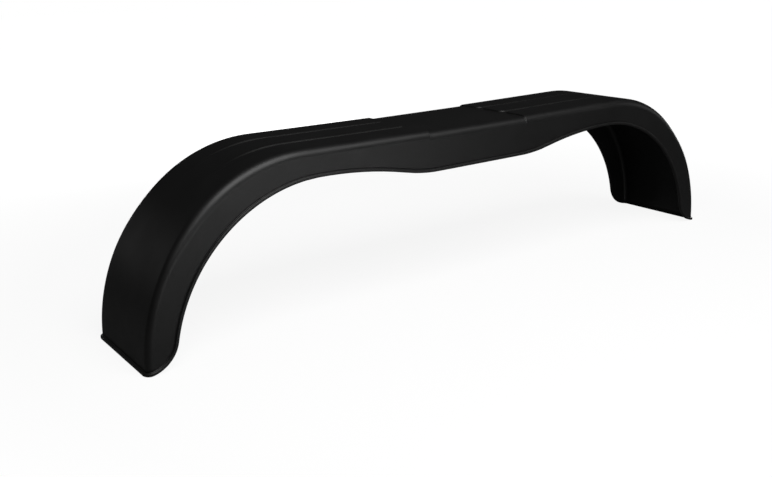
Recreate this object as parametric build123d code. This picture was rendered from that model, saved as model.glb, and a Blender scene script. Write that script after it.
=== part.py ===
from build123d import *
import math
import os

# A one-piece moulded plastic mudguard that covers both wheels on one side of a tandem trailer.
# Frame: X runs along the trailer, Y across the tyres, Z up. The origin is on the ground line,
# in the middle of the part, and the two end edges stand on Z = 0. All sizes are millimetres.

# Overall sizes, over the plain walls
length = 1474.0
width = 220.0
height = 341.0
wall = 3.0

# Outside curve of each end: a side arc that starts upright, then a tighter arc over to the deck,
# which falls a little from there to the middle panel
shoulder_radius = 300.0
shoulder_angle = 49.9
deck_fall = 2.4
edge_radius = 17.0

# Skirts: how far the side walls hang below the deck, and the curves of their lower edge
skirt_depth_at_end = 53.4
skirt_depth_at_crown = 54.1
skirt_depth_at_middle = 84.5
waist_length = 220.0
crown_share = 0.695
corner_radius = 62.5

# Bead that stiffens the whole lower edge
bead_proud = 4.0
bead_height = 6.0
bead_round = 1.6
bead_root_round = 1.5

# Sunken panel in the middle of the deck
panel_length = 258.0
panel_depth = 3.1

# Two grooves along the deck at each end, as deep as the panel, into which they open. They run out
# on the shoulder, at this turn from its top
groove_pitch = 74.0
groove_width = 10.0
groove_turn = 27.4
mouth_radius = 13.0

# How far the solids that cut and join reach past the surfaces that they cross
clear = 20.0

# Worked out from the sizes above: the circles of the outside curve
half_length = length / 2
half_panel = panel_length / 2
rise_of_arcs = math.sin(math.radians(shoulder_angle))
side_radius = (height - shoulder_radius * (1 - rise_of_arcs)) / rise_of_arcs
side_centre_x = half_length - side_radius
shoulder_shift = side_radius - shoulder_radius
shoulder_centre_x = side_centre_x + shoulder_shift * math.cos(math.radians(shoulder_angle))
shoulder_centre_z = shoulder_shift * rise_of_arcs

# The deck's line touches the shoulder's circle and ends at the panel's edge
deck_end_z = height - deck_fall
deck_run = half_panel - shoulder_centre_x
deck_drop = deck_end_z - shoulder_centre_z
deck_turn = math.degrees(
    math.atan2(deck_drop, deck_run) - math.acos(shoulder_radius / math.hypot(deck_run, deck_drop))
)
deck_slope = math.tan(math.radians(deck_turn - 90))
panel_z = deck_end_z - panel_depth

# The skirts' lower edge: an arch over each wheel, and an S-curve from its crown to the middle
arch_radius = side_radius - skirt_depth_at_end
crown_z = height - skirt_depth_at_crown
waist_z = height - skirt_depth_at_middle
arch_centre_z = crown_z - arch_radius
curve_run = side_centre_x - waist_length / 2
curve_drop = crown_z - waist_z
curve_radii = (curve_run**2 + curve_drop**2) / (2 * curve_drop)
crown_radius = crown_share * curve_radii
waist_radius = curve_radii - crown_radius


def polar(centre, radius, degrees):
    """The point at an angle on a circle of the side view."""
    turn = math.radians(degrees)
    return (centre[0] + radius * math.cos(turn), centre[1] + radius * math.sin(turn))


def side_face(outline):
    """A face of the side view from the edges of its right half, which start and end at X = 0."""
    right = [Plane.XZ * edge for edge in outline]
    left = [edge.mirror(Plane.YZ) for edge in right]
    return make_face(right + left)


def across(face, half_width):
    """The face carried across the part by the same distance to both sides."""
    return extrude(face, amount=half_width, both=True)


def long_top_edges(edges, half_width, foot_z):
    """Those of the edges that run along the sides, above the foot."""
    return [
        edge
        for edge in edges
        if abs(abs(edge.center().Y) - half_width) < wall / 2 and edge.center().Z > foot_z + wall / 2
    ]


def block(grow):
    """The solid inside the outer surface moved outwards by grow, reaching down past the ground line."""
    side_centre = (side_centre_x, 0)
    shoulder_centre = (shoulder_centre_x, shoulder_centre_z)
    foot = (half_length + grow, -clear)
    heel = (half_length + grow, 0)
    side_middle = polar(side_centre, side_radius + grow, shoulder_angle / 2)
    joint = polar(side_centre, side_radius + grow, shoulder_angle)
    shoulder_middle = polar(shoulder_centre, shoulder_radius + grow, (shoulder_angle + deck_turn) / 2)
    shoulder_top = polar(shoulder_centre, shoulder_radius + grow, deck_turn)
    # Under the panel, one wide arc joins the deck's two slopes
    dip_run = half_panel / 2
    dip_radius = dip_run / math.sin(math.radians(deck_turn - 90))
    dip_centre = (0, deck_end_z - deck_slope * (half_panel - dip_run) + dip_run / deck_slope)
    dip_start = polar(dip_centre, dip_radius - grow, deck_turn - 180)
    dip_middle = polar(dip_centre, dip_radius - grow, (deck_turn - 180 - 90) / 2)
    dip_bottom = polar(dip_centre, dip_radius - grow, -90)
    outline = [
        Line((0, -clear), foot),
        Line(foot, heel),
        ThreePointArc(heel, side_middle, joint),
        ThreePointArc(joint, shoulder_middle, shoulder_top),
        Line(shoulder_top, dip_start),
        ThreePointArc(dip_start, dip_middle, dip_bottom),
    ]
    half_width = width / 2 + grow
    solid = across(side_face(outline), half_width)
    return fillet(long_top_edges(solid.edges(), half_width, -clear), edge_radius + grow)


def wheel_space(rise):
    """The solid below the skirts' lower edge, with that edge moved up into the skirts by rise."""
    corner_reach = arch_radius + corner_radius
    corner_span = math.sqrt(corner_reach**2 - (corner_radius - arch_centre_z) ** 2)
    corner = (side_centre_x + corner_span, corner_radius)
    arch = (side_centre_x, arch_centre_z)
    crown = (side_centre_x, crown_z - crown_radius)
    waist = (waist_length / 2, waist_z + waist_radius)
    bend = math.degrees(math.atan2(waist[1] - crown[1], waist[0] - crown[0]))
    lean = math.degrees(math.atan2(corner[1] - arch[1], corner[0] - arch[0]))
    waist_low = (waist[0], waist_z + rise)
    waist_high = polar(crown, crown_radius + rise, bend)
    arch_top = (side_centre_x, crown_z + rise)
    arch_low = polar(arch, arch_radius + rise, lean)
    heel = (corner[0], rise)
    outer = half_length + bead_proud + clear
    outline = [
        Line((0, waist_z + rise), waist_low),
        ThreePointArc(waist_low, polar(waist, waist_radius - rise, (bend + 450) / 2), waist_high),
        ThreePointArc(waist_high, polar(crown, crown_radius + rise, (bend + 90) / 2), arch_top),
        ThreePointArc(arch_top, polar(arch, arch_radius + rise, (lean + 90) / 2), arch_low),
        ThreePointArc(arch_low, polar(corner, corner_radius - rise, (lean + 450) / 2), heel),
        Line(heel, (outer, rise)),
        Line((outer, rise), (outer, -2 * clear)),
        Line((outer, -2 * clear), (0, -2 * clear)),
    ]
    return across(side_face(outline), width / 2 + bead_proud + clear)


def groove_level(sink):
    """The solids below the grooves' floors, which follow the deck and then run out on the shoulder."""
    mouth = (half_panel + sink, panel_z - sink)
    shoulder = (shoulder_centre_x, shoulder_centre_z)
    floor_radius = shoulder_radius - panel_depth
    fade = math.cos(math.radians(groove_turn + deck_turn - 90))
    shift = (shoulder_radius**2 - floor_radius**2) / (2 * (floor_radius - shoulder_radius * fade))
    centre = polar(shoulder, -shift, deck_turn)
    radius = floor_radius + shift
    past = math.degrees(2 * clear / radius)
    top = polar(centre, radius - sink, deck_turn)
    middle = polar(centre, radius - sink, 90 - groove_turn / 2)
    end = polar(centre, radius - sink, 90 - groove_turn - past)
    face = make_face(
        [
            Plane.XZ * Line(mouth, top),
            Plane.XZ * ThreePointArc(top, middle, end),
            Plane.XZ * Line(end, (end[0], 0)),
            Plane.XZ * Line((end[0], 0), (mouth[0], 0)),
            Plane.XZ * Line((mouth[0], 0), mouth),
        ]
    )
    right = across(face, width / 2 - sink)
    return right + mirror(right, about=Plane.YZ)


def sunk_level(sink):
    """The solid below the floors of the panel and the grooves, moved inwards by sink."""
    half_width = width / 2 - sink
    slab = extrude(Rectangle(2 * (half_panel + sink), 2 * half_width), amount=panel_z - sink)
    slab = fillet(long_top_edges(slab.edges().filter_by(Axis.X), half_width, 0), edge_radius - sink)
    return slab + groove_level(sink)


def relief_plan(spread):
    """The outline of the panel and its grooves seen from above, spread outwards, with round mouths."""
    edge_x = half_panel + spread
    end_x = shoulder_centre_x + shoulder_radius * math.sin(math.radians(groove_turn)) + clear
    plan = Rectangle(2 * edge_x, width + 2 * clear)
    for side in (-1, 1):
        plan += Pos(0, side * groove_pitch / 2) * Rectangle(2 * end_x, groove_width + 2 * spread)
    mouths = [
        corner
        for corner in plan.vertices()
        if abs(corner.Y) < width / 2 and abs(corner.X) < edge_x + wall / 2
    ]
    return fillet(mouths, mouth_radius - spread)


def relief(sink):
    """What the panel and grooves take off the outer surface, or off the cavity at the depth of sink."""
    prism = extrude(Pos(0, 0, height / 2) * relief_plan(sink), amount=height)
    return prism - sunk_level(sink)


def bead_ring():
    """The bead's solid across the whole width, with its outer edges rounded."""
    body = block(bead_proud)
    lower = body - wheel_space(0)
    heel_edges = [
        edge
        for edge in lower.edges().filter_by(Axis.Y)
        if edge.center().Z < wall / 2 and abs(edge.center().X) > half_length + bead_proud / 2
    ]
    lower = fillet(new_edges(body, wheel_space(0), combined=lower) + heel_edges, bead_round)
    ring = lower & wheel_space(bead_height)
    return fillet(new_edges(lower, wheel_space(bead_height), combined=ring), bead_round)


def mudguard():
    """The whole moulding: an outer shape with its bead, hollowed to one wall thickness."""
    plain = block(0) - relief(0) - wheel_space(0)
    ring = bead_ring()
    outside = plain + ring
    outside = fillet(new_edges(plain, ring, combined=outside), bead_root_round)
    return outside - (block(-wall) - relief(wall))


part = mudguard()
os.makedirs("parts", exist_ok=True)
export_step(part, "parts/mudguard.step")
print("volume", round(part.volume), "box", part.bounding_box())
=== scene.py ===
# %% [markdown]
# A one-piece plastic mudguard for a tandem trailer.
#
# The real one is a sheet of black polypropylene, moulded into a channel that arches over two wheels.
# It has a flat deck with a sunken panel in the middle, two grooves along the deck on each side of the
# panel, a skirt on each side, and a bead that stiffens the whole lower edge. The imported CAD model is
# loaded first. It gives the frame that every piece here is built in: metres, X along the trailer, Y
# across the tyres, Z up, and the ground at Z = 0.

# %% Load the frame
import math

import bmesh
import bpy
import numpy as np
from mathutils import Matrix, Vector


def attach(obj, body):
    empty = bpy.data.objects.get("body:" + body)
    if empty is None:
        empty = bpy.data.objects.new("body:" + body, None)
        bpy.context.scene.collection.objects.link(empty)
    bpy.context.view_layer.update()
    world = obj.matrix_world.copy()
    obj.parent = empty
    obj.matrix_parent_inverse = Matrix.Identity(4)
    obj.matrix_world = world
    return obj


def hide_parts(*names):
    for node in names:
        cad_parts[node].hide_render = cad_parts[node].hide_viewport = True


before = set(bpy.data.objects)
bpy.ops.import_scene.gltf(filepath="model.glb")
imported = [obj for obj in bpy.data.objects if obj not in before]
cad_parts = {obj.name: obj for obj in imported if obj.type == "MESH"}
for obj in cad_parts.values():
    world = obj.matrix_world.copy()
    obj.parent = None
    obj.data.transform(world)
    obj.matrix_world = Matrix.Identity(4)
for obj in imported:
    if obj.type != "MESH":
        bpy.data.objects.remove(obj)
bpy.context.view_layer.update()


# %% [markdown]
# Every size is a real one, in millimetres, and one function turns it to metres. The side view is made
# of arcs that touch: a long arc that starts upright at each end, a tighter arc at the shoulder, and a
# deck that falls a little towards the middle. The lower edge of a skirt has arcs of its own. The deck's
# long edges are rounded, and that round gets tighter between the two taper distances below a shoulder.

# %% Sizes
def mm(size):
    return size / 1000


HALF_LENGTH = mm(737)
HALF_WIDTH = mm(110)
HEIGHT = mm(341)
WALL = mm(3)

SHOULDER_RADIUS = mm(300)
SHOULDER_ANGLE = math.radians(49.9)
DECK_FALL = mm(2.4)
EDGE_RADIUS = mm(17)
EDGE_AT_END = mm(11.5)
TAPER_START = mm(20)
TAPER_END = mm(150)

SKIRT_AT_END = mm(53.4)
SKIRT_AT_CROWN = mm(54.1)
SKIRT_AT_MIDDLE = mm(84.5)
HALF_WAIST = mm(110)
CROWN_SHARE = 0.695
CORNER_RADIUS = mm(62.5)

BEAD_PROUD = mm(4)
BEAD_HEIGHT = mm(6)
BEAD_ROUND = mm(1.6)
CREASE_WIDTH = mm(1.2)
CREASE_DEPTH = mm(0.5)

HALF_PANEL = mm(129)
PANEL_DEPTH = mm(3.1)
GROOVE_PITCH = mm(74)
GROOVE_WIDTH = mm(10)
GROOVE_TURN = math.radians(27.4)
MOUTH_RADIUS = mm(13)
PANEL_STEP = mm(2.2)
GROOVE_STEP = mm(5.3)
print("plain walls", 2 * HALF_LENGTH, "by", 2 * HALF_WIDTH, "by", HEIGHT, "metres")


# %% The arcs of the side view
def on_circle(centre, radius, angle):
    """Points of a circle at angles, which are counted from its right and in radians."""
    return np.stack([centre[0] + radius * np.cos(angle), centre[1] + radius * np.sin(angle)], -1)


side_radius = (HEIGHT - SHOULDER_RADIUS * (1 - math.sin(SHOULDER_ANGLE))) / math.sin(SHOULDER_ANGLE)
side_centre = np.array([HALF_LENGTH - side_radius, 0.0])
shoulder_centre = on_circle(side_centre, side_radius - SHOULDER_RADIUS, SHOULDER_ANGLE)
panel_edge = np.array([HALF_PANEL, HEIGHT - DECK_FALL]) - shoulder_centre
panel_angle = math.atan2(panel_edge[1], panel_edge[0])
deck_turn = panel_angle - math.acos(SHOULDER_RADIUS / np.hypot(*panel_edge))
deck_slope = deck_turn - math.pi / 2
deck_end = on_circle(shoulder_centre, SHOULDER_RADIUS, deck_turn)
deck_run = deck_end[0] / math.cos(deck_slope)
middle_height = deck_end[1] - deck_run * math.sin(deck_slope)
shoulder_run = SHOULDER_RADIUS * (deck_turn - SHOULDER_ANGLE)
side_run = side_radius * SHOULDER_ANGLE
print("side radius", round(side_radius, 4), "deck slope", round(math.degrees(deck_slope), 3))
print("half length along the curve", round(deck_run + shoulder_run + side_run, 4))


# %% [markdown]
# The shape follows a rule: one section is carried along one side view. So the piece starts as a flat
# blank, as a sheet would before it is formed, and a Geometry Nodes tree bends it. On the blank, X is
# the distance along the outside of the side view from its middle, Y is the distance around the section
# from the centre line, and Z is the distance out of the outer surface. The outer skin lies at Z = 0,
# the inner skin one wall below it, and the bead stands proud of it along the edge.
#
# The blank's edge is the skirts' lower edge laid flat, so each point of that edge is turned back from
# the side view to the blank first. That is plain geometry: an angle and a radius about the centre of
# the arc that the point lies under.

# %% Lay the lower edge flat
def lay_flat(points):
    """Distance along the side view, and depth below it, of points of its right half."""
    from_side = points - side_centre
    from_shoulder = points - shoulder_centre
    side_angle = np.arctan2(from_side[:, 1], from_side[:, 0])
    shoulder_angle = np.arctan2(from_shoulder[:, 1], from_shoulder[:, 0])
    deck = points - deck_end
    along = deck_run + deck @ [math.cos(deck_slope), math.sin(deck_slope)]
    depth = -deck @ [math.cos(deck_turn), math.sin(deck_turn)]
    on_shoulder = along > deck_run
    along = np.where(on_shoulder, deck_run + SHOULDER_RADIUS * (deck_turn - shoulder_angle), along)
    depth = np.where(on_shoulder, SHOULDER_RADIUS - np.hypot(*from_shoulder.T), depth)
    on_side = side_angle < SHOULDER_ANGLE
    side_along = deck_run + shoulder_run + side_radius * (SHOULDER_ANGLE - side_angle)
    along = np.where(on_side, side_along, along)
    depth = np.where(on_side, side_radius - np.hypot(*from_side.T), depth)
    return along, depth


arch_radius = side_radius - SKIRT_AT_END
crown_height = HEIGHT - SKIRT_AT_CROWN
waist_height = HEIGHT - SKIRT_AT_MIDDLE
curve_run = side_centre[0] - HALF_WAIST
curve_drop = crown_height - waist_height
curve_radii = (curve_run**2 + curve_drop**2) / (2 * curve_drop)
crown_radius = CROWN_SHARE * curve_radii
waist_radius = curve_radii - crown_radius
arch_centre = np.array([side_centre[0], crown_height - arch_radius])
crown_centre = np.array([side_centre[0], crown_height - crown_radius])
waist_centre = np.array([HALF_WAIST, waist_height + waist_radius])
corner_rise = CORNER_RADIUS - arch_centre[1]
corner_span = math.sqrt((arch_radius + CORNER_RADIUS) ** 2 - corner_rise**2)
corner_centre = np.array([side_centre[0] + corner_span, CORNER_RADIUS])
bend = math.atan2(*(waist_centre - crown_centre)[::-1])
lean = math.atan2(*(corner_centre - arch_centre)[::-1])


def lower_edge(count):
    """Points of the right half's lower edge from its middle, and each one's direction into the skirt."""
    pieces = [
        (waist_centre, waist_radius, -math.pi / 2, bend - math.pi, -1),
        (crown_centre, crown_radius, bend, math.pi / 2, 1),
        (arch_centre, arch_radius, math.pi / 2, lean, 1),
        (corner_centre, CORNER_RADIUS, lean + math.pi, 1.5 * math.pi, -1),
    ]
    flat = np.stack([np.linspace(0, HALF_WAIST, count), np.full(count, waist_height)], -1)
    points, inward = [flat], [np.tile([0.0, 1.0], (count, 1))]
    for centre, radius, start, end, out in pieces:
        angle = np.linspace(start, end, count)[1:]
        points.append(on_circle(centre, radius, angle))
        inward.append(out * on_circle((0, 0), 1, angle))
    return np.concatenate(points), np.concatenate(inward)


POINTS_PER_ARC = 900
edge_points, edge_inward = lower_edge(POINTS_PER_ARC)
root_height = BEAD_HEIGHT + CREASE_WIDTH
root_along, root_depth = lay_flat(edge_points + root_height * edge_inward)
print("lower edge from", edge_points[0].round(4), "to", edge_points[-1].round(4))


# %% [markdown]
# A blank bends well only where it has enough lines to bend along, and wide faces will do elsewhere. Each
# zone below gives where it starts and how far apart its lines are. The lines across are about 2 degrees
# apart on the arcs of the side view, and a quarter of a millimetre apart at the panel's step. On the
# round lower corner they follow the corner's own arc. The lines along are 0.4 mm apart on the grooves'
# sides, a millimetre apart around the mouths, and under 6 degrees apart on the deck's rounded sides.

# %% The blank's lines across
CORNER_LINES = 14
PANEL_FINE = mm(2)


def spread_lines(zones, end):
    """Even positions in each zone, up to the start of the next one. The end itself is left out."""
    limits = [start for start, step in zones] + [end]
    lines = []
    for (start, step), limit in zip(zones, limits[1:]):
        count = max(1, round((limit - start) / step))
        lines.append(np.linspace(start, limit, count, endpoint=False))
    return np.concatenate(lines)


corner_foot_x = HALF_LENGTH - EDGE_RADIUS
last_corner = math.asin((corner_centre[0] - corner_foot_x) / (CORNER_RADIUS - root_height))
corner_turns = np.linspace(math.pi / 2 - lean, last_corner, CORNER_LINES)
corner_out = np.stack([-np.sin(corner_turns), -np.cos(corner_turns)], -1)
corner_roots = corner_centre + (CORNER_RADIUS - root_height) * corner_out
corner_along = lay_flat(corner_roots)[0]

across_zones = [
    (0, mm(24)),
    (HALF_PANEL - mm(9), mm(3)),
    (HALF_PANEL - PANEL_FINE, mm(0.25)),
    (HALF_PANEL + PANEL_FINE, mm(0.75)),
    (HALF_PANEL + MOUTH_RADIUS + mm(4), mm(6)),
    (HALF_PANEL + mm(41), mm(24)),
    (deck_run, mm(10)),
    (deck_run + shoulder_run, mm(11)),
]
half_stations = np.concatenate([spread_lines(across_zones, corner_along[0]), corner_along])
stations = np.concatenate([-half_stations[:0:-1], half_stations])
print(len(stations), "lines across")

# %% The blank's lines along
EDGE_LINES = 17
GROOVE_FINE = mm(3)

groove_mid = GROOVE_PITCH / 2
half_groove = GROOVE_WIDTH / 2
mouth_reach = half_groove + MOUTH_RADIUS + mm(1)
along_zones = [
    (0, mm(6)),
    (groove_mid - mouth_reach, mm(1)),
    (groove_mid - half_groove - GROOVE_FINE, mm(0.4)),
    (groove_mid - half_groove + GROOVE_FINE, mm(2)),
    (groove_mid + half_groove - GROOVE_FINE, mm(0.4)),
    (groove_mid + half_groove + GROOVE_FINE, mm(1)),
    (groove_mid + mouth_reach, mm(9)),
]
skirt_start = HALF_WIDTH - EDGE_RADIUS + EDGE_RADIUS * math.pi / 2
rounded_side = np.linspace(HALF_WIDTH - EDGE_RADIUS, skirt_start, EDGE_LINES)
half_columns = np.concatenate([spread_lines(along_zones, rounded_side[0]), rounded_side])
columns = np.concatenate([-half_columns[:0:-1], half_columns])
print(len(columns), "lines along")


# %% [markdown]
# The bead is the raised rim that stiffens the skirts. Its section is a short path: out of the skirt
# through a narrow crease, which draws the thin dark line above the bead, over a face with two rounded
# edges, and back under the wall to the inner skin. Each step is a height above the lower edge and a
# distance out of the outer surface. A bevelled curve laid along the edge would look alike from afar, but
# this path is part of the blank, so it bends with the sheet and the whole moulding stays one closed skin.

# %% The bead's section
def quarter(centre, radius, start, end, steps=4):
    """Points of a quarter of a circle between two angles in degrees."""
    angle = np.radians(np.linspace(start, end, steps + 1))
    return on_circle(centre, radius, angle)


bead_section = np.concatenate(
    [
        [[root_height, 0], [BEAD_HEIGHT + CREASE_WIDTH / 2, -CREASE_DEPTH], [BEAD_HEIGHT, -CREASE_DEPTH]],
        quarter((BEAD_HEIGHT - BEAD_ROUND, BEAD_PROUD - BEAD_ROUND), BEAD_ROUND, 0, 90),
        quarter((BEAD_ROUND, BEAD_PROUD - BEAD_ROUND), BEAD_ROUND, 90, 180),
        [[0, -WALL / 4], [0, -WALL]],
    ]
)
print(len(bead_section), "points in the bead's section")


# %% [markdown]
# The blank's points are worked out zone by zone: the deck with its rounded sides, the two skirts, and
# the bead around the whole edge. At the two ends the bead crosses the rounded sides of the section, so
# its height there is found on the surface itself, in a few rounds that settle on it.
#
# The round of the deck's edges is tighter there. A round is shorter than the square corner around it, by
# 2 less a quarter turn for each unit of its radius. So a tighter round takes more of the sheet, and the
# distance around the section is stretched by that much before it is bent. The skirts keep their depth.

# %% Where the bead crosses the ends
ROUND_SAVES = 2 - math.pi / 2
SETTLING_ROUNDS = 6


def end_point(across, height, out):
    """Where the bead's line at a height above the edge crosses a line of the blank at the right end."""
    share = np.clip((np.abs(across) - HALF_WIDTH + EDGE_RADIUS) / (EDGE_RADIUS * math.pi / 2), 0, 1)
    stretched = np.abs(across) + share * (EDGE_RADIUS - EDGE_AT_END) * ROUND_SAVES
    past_flat = stretched - HALF_WIDTH + EDGE_AT_END
    turn = np.clip(past_flat / EDGE_AT_END, 0, math.pi / 2)
    down_skirt = np.maximum(past_flat - EDGE_AT_END * math.pi / 2, 0)
    radius = side_radius - EDGE_AT_END + (EDGE_AT_END + out) * np.cos(turn) - down_skirt
    z = np.full_like(radius, height)
    for _ in range(SETTLING_ROUNDS):
        x = side_centre[0] + np.sqrt(radius**2 - z**2)
        before_corner = np.maximum(corner_centre[0] - x, 0)
        z = CORNER_RADIUS - np.sqrt((CORNER_RADIUS - height) ** 2 - before_corner**2)
    along = deck_run + shoulder_run + side_radius * (SHOULDER_ANGLE - np.arcsin(z / radius))
    return np.stack([along, across, np.full_like(along, out)], -1)


end_middle = end_point(np.zeros(1), 0, 0)[0]
print("the end's lower edge lies", round(end_middle[0], 4), "along the blank")


# %% Lines of the bead around the blank
def read_edge(values):
    """What the lower edge's points hold, read where the blank's lines across meet the bead's root."""
    index = np.interp(half_stations, root_along, np.arange(len(root_along)))
    return np.stack([np.interp(index, np.arange(len(values)), values[:, k]) for k in (0, 1)], -1)


base, base_inward = read_edge(edge_points), read_edge(edge_inward)
base[-CORNER_LINES:] = corner_centre + CORNER_RADIUS * corner_out
base_inward[-CORNER_LINES:] = -corner_out


def skirt_line(height, out):
    """The bead's line at a height above the lower edge, along the whole back skirt."""
    along, depth = lay_flat(base + height * base_inward)
    along[0] = 0
    across = skirt_start + depth - EDGE_RADIUS
    right = np.stack([along, across, np.full_like(along, out)], -1)
    return np.concatenate([right[:0:-1] * [-1, 1, 1], right])


def edge_loop(height, out):
    """One closed line around the blank: front skirt, right end, back skirt, left end."""
    back = skirt_line(height, out)
    front = back * [1, -1, 1]
    right = end_point(columns, height, out)
    left = right * [-1, 1, 1]
    return np.concatenate([front, right[1:-1], back[::-1], left[::-1][1:-1]])


bead_loops = np.array([edge_loop(height, out) for height, out in bead_section])
print(len(bead_loops), "loops of", bead_loops.shape[1], "points")


# %% Grids of the deck and the skirts
SKIRT_SHARES = np.array([0, 0.03, 0.12, 0.35, 0.65, 0.88, 0.97, 1])


def deck_grid(out, rim):
    """Points of the deck and its rounded sides. Its end lines lie on the rim's loop."""
    grid = np.zeros((len(stations), len(columns), 3))
    grid[..., 0] = stations[:, None]
    grid[..., 1] = columns[None]
    grid[..., 2] = out
    rows, cols = len(stations), len(columns)
    grid[-1, 1:-1] = rim[rows : rows + cols - 2]
    grid[0, 1:-1] = rim[2 * rows + cols - 2 :][::-1]
    grid[0, 0], grid[-1, 0] = rim[0], rim[rows - 1]
    grid[-1, -1], grid[0, -1] = rim[rows + cols - 2], rim[2 * rows + cols - 3]
    return grid


def skirt_grid(foot, rim_line):
    """Points of a skirt between the rounded side and the bead, closer together near both."""
    shares = SKIRT_SHARES[None, :, None]
    return foot[:, None] * (1 - shares) + rim_line[:, None] * shares


print(len(SKIRT_SHARES), "lines along each skirt")


# %% Join the zones into one closed blank
def add_grid(mesh, points, share, closed=False):
    """Adds a grid of points and its faces. The share says how far the panel's depth moves each point."""
    layer = mesh.verts.layers.float["sink_share"]
    rows = []
    for line, line_share in zip(points, share):
        rows.append([])
        for point, one in zip(line, line_share):
            vert = mesh.verts.new(point)
            vert[layer] = one
            rows[-1].append(vert)
    for first, second in zip(rows, rows[1:]):
        count = len(first) if closed else len(first) - 1
        for k in range(count):
            after = (k + 1) % len(first)
            mesh.faces.new((first[k], first[after], second[after], second[k]))


def blank_mesh():
    """The whole blank as one mesh: both skins and the bead, merged where they meet."""
    mesh = bmesh.new()
    mesh.verts.layers.float.new("sink_share")
    rows = len(stations)
    for out, rim in ((0, bead_loops[0]), (-WALL, bead_loops[-1])):
        deck = deck_grid(out, rim)
        add_grid(mesh, deck, np.ones(deck.shape[:2]))
        front_rim = rim[:rows]
        back_rim = rim[rows + len(columns) - 2 :][:rows][::-1]
        for foot, line in ((deck[:, 0], front_rim), (deck[:, -1], back_rim)):
            skirt = skirt_grid(foot, line)
            fade = np.linspace(1, 0, skirt.shape[1])
            add_grid(mesh, skirt, np.tile(fade, (rows, 1)))
    add_grid(mesh, bead_loops, np.zeros(bead_loops.shape[:2]), closed=True)
    bmesh.ops.remove_doubles(mesh, verts=mesh.verts, dist=mm(0.004))
    bmesh.ops.recalc_face_normals(mesh, faces=mesh.faces)
    open_edges = sum(not edge.is_manifold for edge in mesh.edges)
    data = bpy.data.meshes.new("mudguard_blank")
    mesh.to_mesh(data)
    mesh.free()
    print(len(data.polygons), "faces in the blank,", open_edges, "open edges")
    return data


mudguard = bpy.data.objects.new("mudguard_shell", blank_mesh())
bpy.context.scene.collection.objects.link(mudguard)


# %% [markdown]
# One function adds a node, sets what it needs and links its inputs. It is used for the tree below and
# for the materials. An input is a number, a node, of which the first output is taken, or a socket.

# %% Add a node
def node(tree, kind, inputs=None, **settings):
    """A new node of a tree, with its settings made and its inputs set or linked."""
    made = tree.nodes.new(kind)
    for name, value in settings.items():
        setattr(made, name, value)
    for key, value in (inputs or {}).items():
        if isinstance(value, bpy.types.Node):
            tree.links.new(value.outputs[0], made.inputs[key])
        elif isinstance(value, bpy.types.NodeSocket):
            tree.links.new(value, made.inputs[key])
        else:
            made.inputs[key].default_value = value
    return made


def linear(hex_colour):
    """A colour written as sRGB hex, as the linear values that a shader takes."""
    parts = [int(hex_colour[k : k + 2], 16) / 255 for k in (1, 3, 5)]
    return [c / 12.92 if c <= 0.04045 else ((c + 0.055) / 1.055) ** 2.4 for c in parts] + [1]


print("the plastic's black as a linear value", round(linear("#111111")[0], 4))


# %% [markdown]
# The real one is polypropylene, black all through, moulded against a finely etched tool. That gives the
# eye a deep neutral black with a satin sheen: highlights spread wide and have no sharp edge. Its index of
# refraction is the usual 1.49, and its roughness was matched to the highlight along the deck's front
# edge. A grain of about a quarter of a millimetre is too fine for the render, so it is drawn four times
# as coarse and very shallow. A slow change of tone and roughness, some 60 mm across, stands for handling
# marks and the flow of the moulding.

# %% Material: black moulded polypropylene
GRAIN = mm(1.0)
FLOW = mm(60)

plastic = bpy.data.materials.new("moulded_polypropylene_black")
plastic.use_nodes = True
shade = plastic.node_tree
shade.nodes.clear()
place = node(shade, "ShaderNodeTexCoord").outputs["Object"]
flow = node(shade, "ShaderNodeTexNoise", {"Vector": place, "Scale": 1 / FLOW, "Detail": 3.0})
grain = node(shade, "ShaderNodeTexNoise", {"Vector": place, "Scale": 1 / GRAIN, "Detail": 2.0})
sheen = node(
    shade,
    "ShaderNodeMapRange",
    {"Value": flow.outputs["Fac"], "From Min": 0.3, "From Max": 0.7, "To Min": 0.40, "To Max": 0.47},
)
tone = node(
    shade,
    "ShaderNodeMix",
    {"Factor": flow.outputs["Fac"], "A": linear("#0e0e0e"), "B": linear("#111111")},
    data_type="RGBA",
)
relief = node(
    shade,
    "ShaderNodeBump",
    {"Height": grain.outputs["Fac"], "Strength": 0.25, "Distance": mm(0.05)},
)
skin = node(
    shade,
    "ShaderNodeBsdfPrincipled",
    {"Base Color": tone.outputs["Result"], "Roughness": sheen, "Normal": relief, "IOR": 1.49},
)
node(shade, "ShaderNodeOutputMaterial", {"Surface": skin})
print("material", plastic.name, "with", len(shade.nodes), "nodes")


# %% [markdown]
# The tree presses and bends the blank in three steps. First the relief: the panel and the grooves are
# one outline, the union of a wide band and two narrow ones with round inside corners, and a point's
# distance from it sets how deep it is pressed. The slope down to the floor is steep at the panel and
# softer along the grooves, as the photograph's crisp and soft lines show. Then the section: past the flat
# of the deck the sheet turns down around the edge radius, which tightens below the shoulder. Last the
# side view: the sheet follows the deck, the shoulder's arc and the side's arc, each with its own radius.
# The two halves are mirror images, so the tree works on plain distances and puts the signs back at the
# end. A Bend modifier could do one arc, but not the exact lengths and radii of all three.

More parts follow.
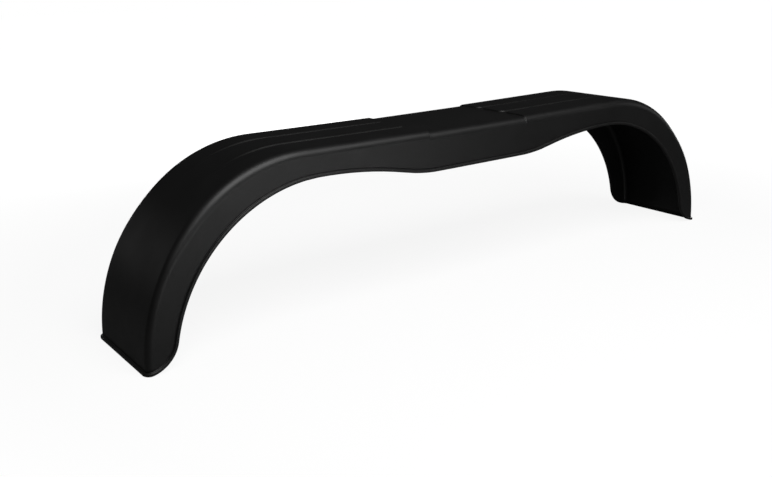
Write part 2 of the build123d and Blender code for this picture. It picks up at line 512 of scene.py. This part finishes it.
# %% Geometry Nodes: press and bend the blank
bending = bpy.data.node_groups.new("press_and_bend", "GeometryNodeTree")
bending.interface.new_socket("Geometry", in_out="INPUT", socket_type="NodeSocketGeometry")
bending.interface.new_socket("Geometry", in_out="OUTPUT", socket_type="NodeSocketGeometry")
sizes = {
    "Half panel": HALF_PANEL,
    "Panel depth": PANEL_DEPTH,
    "Half groove pitch": GROOVE_PITCH / 2,
    "Half groove width": GROOVE_WIDTH / 2,
    "Mouth radius": MOUTH_RADIUS,
    "Half panel step": PANEL_STEP / 2,
    "Half groove step": GROOVE_STEP / 2,
    "Groove turn": GROOVE_TURN,
    "Half width": HALF_WIDTH,
    "Edge radius": EDGE_RADIUS,
    "Edge radius at end": EDGE_AT_END,
    "Taper start": TAPER_START,
    "Taper end": TAPER_END,
    "Middle height": middle_height,
    "Deck run": deck_run,
    "Deck slope": deck_slope,
    "Shoulder radius": SHOULDER_RADIUS,
    "Shoulder turn": deck_turn - SHOULDER_ANGLE,
    "Side radius": side_radius,
    "Side turn": SHOULDER_ANGLE,
}
socket_names = {}
for name in sizes:
    socket = bending.interface.new_socket(name, in_out="INPUT", socket_type="NodeSocketFloat")
    socket_names[name] = socket.identifier
given = node(bending, "NodeGroupInput")
size = {name: given.outputs[name] for name in sizes}
MATH = "ShaderNodeMath"
VECTOR = "ShaderNodeVectorMath"

flat = node(bending, "ShaderNodeSeparateXYZ", {0: node(bending, "GeometryNodeInputPosition")})
along = node(bending, MATH, {0: flat.outputs["X"]}, operation="ABSOLUTE")
across = node(bending, MATH, {0: flat.outputs["Y"]}, operation="ABSOLUTE")
along_sign = node(bending, MATH, {0: flat.outputs["X"]}, operation="SIGN")
across_sign = node(bending, MATH, {0: flat.outputs["Y"]}, operation="SIGN")
print("tree", bending.name, "with", len(sizes), "named sizes")

# %% The shoulder's and the side's share of the bend
past_deck = node(bending, MATH, {0: along, 1: size["Deck run"]}, operation="SUBTRACT")
shoulder_free = node(bending, MATH, {0: past_deck, 1: size["Shoulder radius"]}, operation="DIVIDE")
shoulder_up = node(bending, MATH, {0: shoulder_free, 1: 0.0}, operation="MAXIMUM")
shoulder_bend = node(bending, MATH, {0: shoulder_up, 1: size["Shoulder turn"]}, operation="MINIMUM")
shoulder_arc = {0: size["Shoulder radius"], 1: size["Shoulder turn"]}
shoulder_length = node(bending, MATH, shoulder_arc, operation="MULTIPLY")
past_shoulder = node(bending, MATH, {0: past_deck, 1: shoulder_length}, operation="SUBTRACT")
side_free = node(bending, MATH, {0: past_shoulder, 1: size["Side radius"]}, operation="DIVIDE")
side_up = node(bending, MATH, {0: side_free, 1: 0.0}, operation="MAXIMUM")
side_bend = node(bending, MATH, {0: side_up, 1: size["Side turn"]}, operation="MINIMUM")
print(len(bending.nodes), "nodes with the bends")

# %% The relief's outline: how far a point is from the panel and the grooves
panel_gap = node(bending, MATH, {0: along, 1: size["Half panel"]}, operation="SUBTRACT")
groove_side = node(bending, MATH, {0: across, 1: size["Half groove pitch"]}, operation="SUBTRACT")
groove_off = node(bending, MATH, {0: groove_side}, operation="ABSOLUTE")
groove_gap = node(bending, MATH, {0: groove_off, 1: size["Half groove width"]}, operation="SUBTRACT")
corner_parts = []
for gap in (panel_gap, groove_gap):
    inside = node(bending, MATH, {0: size["Mouth radius"], 1: gap}, operation="SUBTRACT")
    corner_parts.append(node(bending, MATH, {0: inside, 1: 0.0}, operation="MAXIMUM"))
corner = node(bending, "ShaderNodeCombineXYZ", {0: corner_parts[0], 1: corner_parts[1]})
corner_reach = node(bending, VECTOR, {0: corner}, operation="LENGTH").outputs["Value"]
nearest = node(bending, MATH, {0: panel_gap, 1: groove_gap}, operation="MINIMUM")
beyond = node(bending, MATH, {0: nearest, 1: size["Mouth radius"]}, operation="MAXIMUM")
outline_gap = node(bending, MATH, {0: beyond, 1: corner_reach}, operation="SUBTRACT")
print(len(bending.nodes), "nodes with the outline")

# %% The relief's depth: full inside the outline, run out on the shoulder
past_mouth = node(bending, MATH, {0: panel_gap, 1: size["Mouth radius"]}, operation="DIVIDE")
half_step = node(
    bending,
    "ShaderNodeMapRange",
    {"Value": past_mouth, "To Min": size["Half panel step"], "To Max": size["Half groove step"]},
)
step_start = node(bending, MATH, {0: half_step, 1: -1.0}, operation="MULTIPLY")
pressed = node(
    bending,
    "ShaderNodeMapRange",
    {"Value": outline_gap, "From Min": step_start, "From Max": half_step, "To Min": 1.0, "To Max": 0.0},
    interpolation_type="SMOOTHSTEP",
)
bend_cosine = node(bending, MATH, {0: shoulder_bend}, operation="COSINE")
fade_cosine = node(bending, MATH, {0: size["Groove turn"]}, operation="COSINE")
fade = node(bending, "ShaderNodeMapRange", {"Value": bend_cosine, "From Min": fade_cosine, "From Max": 1.0})
full_depth = node(bending, MATH, {0: fade, 1: size["Panel depth"]}, operation="MULTIPLY")
before_edge = node(bending, MATH, {0: size["Half panel"], 1: along}, operation="SUBTRACT")
in_panel = node(bending, MATH, {0: before_edge, 1: 0.0}, operation="MAXIMUM")
fallen = node(bending, MATH, {0: in_panel, 1: size["Deck slope"]}, operation="MULTIPLY")
level_depth = node(bending, MATH, {0: full_depth, 1: fallen}, operation="SUBTRACT")
relief_depth = node(bending, MATH, {0: level_depth, 1: pressed}, operation="MULTIPLY")
sink_share = node(bending, "GeometryNodeInputNamedAttribute", {"Name": "sink_share"}, data_type="FLOAT")
sunk = node(bending, MATH, {0: relief_depth, 1: sink_share.outputs["Attribute"]}, operation="MULTIPLY")
print(len(bending.nodes), "nodes with the relief")

# %% The section: the edge radius at each point, and the stretch that keeps the skirts' depth
edge = node(
    bending,
    "ShaderNodeMapRange",
    {
        "Value": past_shoulder,
        "From Min": size["Taper start"],
        "From Max": size["Taper end"],
        "To Min": size["Edge radius"],
        "To Max": size["Edge radius at end"],
    },
    interpolation_type="SMOOTHSTEP",
)
widest_flat = node(bending, MATH, {0: size["Half width"], 1: size["Edge radius"]}, operation="SUBTRACT")
widest_arc = node(bending, MATH, {0: size["Edge radius"], 1: math.pi / 2}, operation="MULTIPLY")
widest_end = node(bending, MATH, {0: widest_flat, 1: widest_arc}, operation="ADD")
stretch_share = node(
    bending,
    "ShaderNodeMapRange",
    {"Value": across, "From Min": widest_flat, "From Max": widest_end},
)
tighter = node(bending, MATH, {0: size["Edge radius"], 1: edge}, operation="SUBTRACT")
stretch = node(bending, MATH, {0: tighter, 1: ROUND_SAVES}, operation="MULTIPLY")
around = node(bending, MATH, {0: stretch_share, 1: stretch, 2: across}, operation="MULTIPLY_ADD")
half_flat = node(bending, MATH, {0: size["Half width"], 1: edge}, operation="SUBTRACT")
print(len(bending.nodes), "nodes with the edge radius")

# %% The section: turn the sides down around the edge radius
past_flat = node(bending, MATH, {0: around, 1: half_flat}, operation="SUBTRACT")
edge_free = node(bending, MATH, {0: past_flat, 1: edge}, operation="DIVIDE")
edge_up = node(bending, MATH, {0: edge_free, 1: 0.0}, operation="MAXIMUM")
edge_bend = node(bending, MATH, {0: edge_up, 1: math.pi / 2}, operation="MINIMUM")
edge_sine = node(bending, MATH, {0: edge_bend}, operation="SINE")
edge_cosine = node(bending, MATH, {0: edge_bend}, operation="COSINE")
skin_radius = node(bending, MATH, {0: edge, 1: flat.outputs["Z"]}, operation="ADD")
on_flat = node(bending, MATH, {0: around, 1: half_flat}, operation="MINIMUM")
half_y = node(bending, MATH, {0: skin_radius, 1: edge_sine, 2: on_flat}, operation="MULTIPLY_ADD")
edge_arc = node(bending, MATH, {0: edge, 1: math.pi / 2}, operation="MULTIPLY")
past_edge = node(bending, MATH, {0: past_flat, 1: edge_arc}, operation="SUBTRACT")
down_skirt = node(bending, MATH, {0: past_edge, 1: 0.0}, operation="MAXIMUM")
turned = node(bending, MATH, {0: skin_radius, 1: edge_cosine}, operation="MULTIPLY")
edge_depth = node(bending, MATH, {0: edge, 1: turned}, operation="SUBTRACT")
plain_depth = node(bending, MATH, {0: edge_depth, 1: down_skirt}, operation="ADD")
depth = node(bending, MATH, {0: plain_depth, 1: sunk}, operation="ADD")
print(len(bending.nodes), "nodes with the section")

# %% The side view: deck, shoulder arc, side arc
turn_deck = node(bending, MATH, {0: size["Deck slope"], 1: math.pi / 2}, operation="ADD")
turn_shoulder = node(bending, MATH, {0: turn_deck, 1: shoulder_bend}, operation="SUBTRACT")
turn_side = node(bending, MATH, {0: turn_shoulder, 1: side_bend}, operation="SUBTRACT")
outward = []
for turn in (turn_deck, turn_shoulder, turn_side):
    cosine = node(bending, MATH, {0: turn}, operation="COSINE")
    sine = node(bending, MATH, {0: turn}, operation="SINE")
    outward.append(node(bending, "ShaderNodeCombineXYZ", {0: cosine, 2: sine}))
on_deck = node(bending, MATH, {0: along, 1: size["Deck run"]}, operation="MINIMUM")
slope_cosine = node(bending, MATH, {0: size["Deck slope"]}, operation="COSINE")
slope_sine = node(bending, MATH, {0: size["Deck slope"]}, operation="SINE")
deck_x = node(bending, MATH, {0: on_deck, 1: slope_cosine}, operation="MULTIPLY")
rise = {0: on_deck, 1: slope_sine, 2: size["Middle height"]}
deck_z = node(bending, MATH, rise, operation="MULTIPLY_ADD")
reached = node(bending, "ShaderNodeCombineXYZ", {0: deck_x, 2: deck_z})
for before, after, radius in (
    (outward[0], outward[1], size["Shoulder radius"]),
    (outward[1], outward[2], size["Side radius"]),
):
    chord = node(bending, VECTOR, {0: after, 1: before}, operation="SUBTRACT")
    step = node(bending, VECTOR, {0: chord, "Scale": radius}, operation="SCALE")
    reached = node(bending, VECTOR, {0: reached, 1: step}, operation="ADD")
inward = node(bending, VECTOR, {0: outward[2], "Scale": depth}, operation="SCALE")
half_place = node(bending, VECTOR, {0: reached, 1: inward}, operation="SUBTRACT")
half_parts = node(bending, "ShaderNodeSeparateXYZ", {0: half_place})
full_x = node(bending, MATH, {0: half_parts.outputs["X"], 1: along_sign}, operation="MULTIPLY")
full_y = node(bending, MATH, {0: half_y, 1: across_sign}, operation="MULTIPLY")
formed = node(bending, "ShaderNodeCombineXYZ", {0: full_x, 1: full_y, 2: half_parts.outputs["Z"]})

placing = {"Geometry": given.outputs["Geometry"], "Position": formed}
moved = node(bending, "GeometryNodeSetPosition", placing)
smooth = node(bending, "GeometryNodeSetShadeSmooth", {"Geometry": moved})
real = node(bending, "GeometryNodeRealizeInstances", {"Geometry": smooth})
finished = node(bending, "GeometryNodeSetMaterial", {"Geometry": real, "Material": plastic})
node(bending, "NodeGroupOutput", {"Geometry": finished})
print("tree", bending.name, "with", len(bending.nodes), "nodes")


# %% Form the mudguard
def bake_nodes(piece, tree, values, identifiers):
    """Runs the tree on the piece, keeps the result as its plain mesh and takes the modifier off."""
    modifier = piece.modifiers.new(tree.name, "NODES")
    modifier.node_group = tree
    for name, value in values.items():
        modifier[identifiers[name]] = float(value)
    depsgraph = bpy.context.evaluated_depsgraph_get()
    formed_mesh = bpy.data.meshes.new_from_object(piece.evaluated_get(depsgraph))
    piece.modifiers.clear()
    piece.data = formed_mesh
    formed_mesh.name = piece.name
    print(piece.name, len(formed_mesh.polygons), "faces")


bake_nodes(mudguard, bending, sizes, socket_names)
lowest = [min(v.co[k] for v in mudguard.data.vertices) for k in range(3)]
highest = [max(v.co[k] for v in mudguard.data.vertices) for k in range(3)]
print("formed from", [round(v, 4) for v in lowest], "to", [round(v, 4) for v in highest])
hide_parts("mudguard")
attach(mudguard, "root")


# %% [markdown]
# The studio is a plain pale floor with nothing behind it. What the camera sees of the floor and of the
# world is white, while the light that they throw on the part stays low. Where an object has metal or
# glass, glossy rays would see the white too. This one has neither, and its rough black sheen would be
# washed out to grey, so glossy rays meet the room's own low level. The floor keeps the part's soft
# shadow: near the part its glow is a little under white, so that the shadow shows on it, and it rises to
# white further out.

# %% White for the camera
def white_for_camera(tree, gloss_level, room_level):
    """A strength: 1 for the camera, also through glass, gloss_level in reflections, else room_level."""
    path = node(tree, "ShaderNodeLightPath")
    gloss = path.outputs["Is Glossy Ray"]
    unseen = node(tree, "ShaderNodeMapRange", {"Value": gloss, "To Min": room_level, "To Max": gloss_level})
    seen = node(
        tree,
        MATH,
        {0: path.outputs["Is Camera Ray"], 1: path.outputs["Is Transmission Ray"]},
        operation="MAXIMUM",
    )
    return node(tree, "ShaderNodeMapRange", {"Value": seen, "To Min": unseen, "To Max": 1.0})


# %% Floor
FLOOR_REACH = 12
NEAR_WHITE = 0.89
NEAR_REACH, WHITE_REACH = 0.9, 2.0

floor_mesh = bpy.data.meshes.new("studio_floor")
shape = bmesh.new()
bmesh.ops.create_grid(shape, x_segments=2, y_segments=2, size=FLOOR_REACH)
shape.to_mesh(floor_mesh)
shape.free()
floor = bpy.data.objects.new("studio_floor", floor_mesh)
bpy.context.scene.collection.objects.link(floor)
paper = bpy.data.materials.new("matt_pale_paper")
paper.use_nodes = True
sheet = paper.node_tree
sheet.nodes.clear()
matt = node(sheet, "ShaderNodeBsdfDiffuse", {"Color": linear("#686868")})
spot = node(sheet, "ShaderNodeTexCoord").outputs["Object"]
away = node(sheet, VECTOR, {0: spot}, operation="LENGTH").outputs["Value"]
white = node(
    sheet,
    "ShaderNodeMapRange",
    {"Value": away, "From Min": NEAR_REACH, "From Max": WHITE_REACH, "To Min": NEAR_WHITE, "To Max": 1.0},
)
strength = node(sheet, MATH, {0: white, 1: white_for_camera(sheet, 0.0, 0.0)}, operation="MULTIPLY")
glow = node(sheet, "ShaderNodeEmission", {"Color": linear("#ffffff"), "Strength": strength})
both = node(sheet, "ShaderNodeAddShader", {0: matt, 1: glow})
node(sheet, "ShaderNodeOutputMaterial", {"Surface": both})
floor_mesh.materials.append(paper)
print("floor", 2 * FLOOR_REACH, "metres square")

# %% World
ROOM_LEVEL = 0.021

world = bpy.data.worlds.new("studio_air")
world.use_nodes = True
bpy.context.scene.world = world
air = world.node_tree
air.nodes.clear()
haze = white_for_camera(air, ROOM_LEVEL, ROOM_LEVEL)
backdrop = node(air, "ShaderNodeBackground", {"Color": linear("#ffffff"), "Strength": haze})
node(air, "ShaderNodeOutputWorld", {"Surface": backdrop})
print("world", world.name, "lights the part at", ROOM_LEVEL)


# %% [markdown]
# One large soft box does most of the work. It hangs in front and above, a little left of the middle, and
# draws the bright line along the front edge of the deck, brightest on the left shoulder. The others are
# weak and fill in. The deck is seen at a flat angle and mirrors the low air behind the part on the right,
# so a lamp there would wash it out. The two lamps on that side hang lower than the deck for that reason,
# and light only the inside of the far arch and the right end.

# %% Lights
def soft_box(name, place, aim, width, height, power):
    """A rectangular lamp at a place, turned to its aim. Sizes are in metres and its power in watts."""
    lamp = bpy.data.lights.new(name, "AREA")
    lamp.shape = "RECTANGLE"
    lamp.size, lamp.size_y = width, height
    lamp.energy = power
    box = bpy.data.objects.new(name, lamp)
    bpy.context.scene.collection.objects.link(box)
    direction = Vector(aim) - Vector(place)
    box.rotation_euler = direction.to_track_quat("-Z", "Y").to_euler()
    box.location = place
    box.visible_camera = False
    print(name, "at", place, power, "W")


# In front and above: the bright line along the deck's front edge, and a weaker one from the right
soft_box("soft_box_main", (-0.45, -1.35, 2.0), (-0.4, -0.1, 0.3), 2.2, 1.5, 44)
soft_box("soft_box_second", (1.1, -1.15, 1.95), (0.1, -0.1, 0.3), 1.2, 0.9, 4)
# In front and lower: the right shoulder's skirt, and the whole front skirt
soft_box("soft_box_right", (2.0, -0.7, 0.6), (0.6, -0.1, 0.25), 0.6, 0.6, 0.95)
soft_box("soft_box_low", (-0.1, -1.35, 0.1), (-0.3, -0.1, 0.25), 1.5, 0.3, 3.6)
# Behind: the left end's outer face, the inside of the far arch, and the right end
soft_box("soft_box_left", (-1.35, 1.4, 0.45), (-0.7, 0.0, 0.2), 0.9, 0.5, 0.25)
soft_box("soft_box_back", (0.3, 1.9, 0.15), (0.05, 0.1, 0.2), 1.4, 0.25, 11)
soft_box("soft_box_end", (2.1, 0.5, 0.15), (0.7, 0.0, 0.15), 0.8, 0.25, 4)


# %% [markdown]
# The camera stands in front on the left, a little above the part. Its place, its turn and its lens were
# solved from the part's outline in the photograph. The turn is written as a yaw to the right, a pitch
# down and a roll, in degrees, and the lens as its focal length in pixels of a frame 772 pixels wide.

# %% Camera
FRAME_WIDTH = 772
FOCAL_PIXELS = 900.0
SENSOR_WIDTH = 36.0
CAMERA_PLACE = (mm(-1213.4), mm(-1446.2), mm(653.2))
CAMERA_TURN = (36.027, 17.148, -1.2245)

yaw, pitch, roll = (math.radians(angle) for angle in CAMERA_TURN)
forward = Vector((math.sin(yaw) * math.cos(pitch), math.cos(yaw) * math.cos(pitch), -math.sin(pitch)))
level_right = Vector((math.cos(yaw), -math.sin(yaw), 0))
level_up = level_right.cross(forward)
right = level_right * math.cos(roll) + level_up * math.sin(roll)
up = level_up * math.cos(roll) - level_right * math.sin(roll)

lens = bpy.data.cameras.new("photo_camera")
lens.sensor_fit = "HORIZONTAL"
lens.sensor_width = SENSOR_WIDTH
lens.lens = SENSOR_WIDTH * FOCAL_PIXELS / FRAME_WIDTH
camera = bpy.data.objects.new("photo_camera", lens)
bpy.context.scene.collection.objects.link(camera)
turn = Matrix((right, up, -forward)).transposed().to_4x4()
camera.matrix_world = Matrix.Translation(CAMERA_PLACE) @ turn
bpy.context.scene.camera = camera
bpy.context.scene.view_settings.view_transform = "Standard"
print("lens", round(lens.lens, 2), "mm")
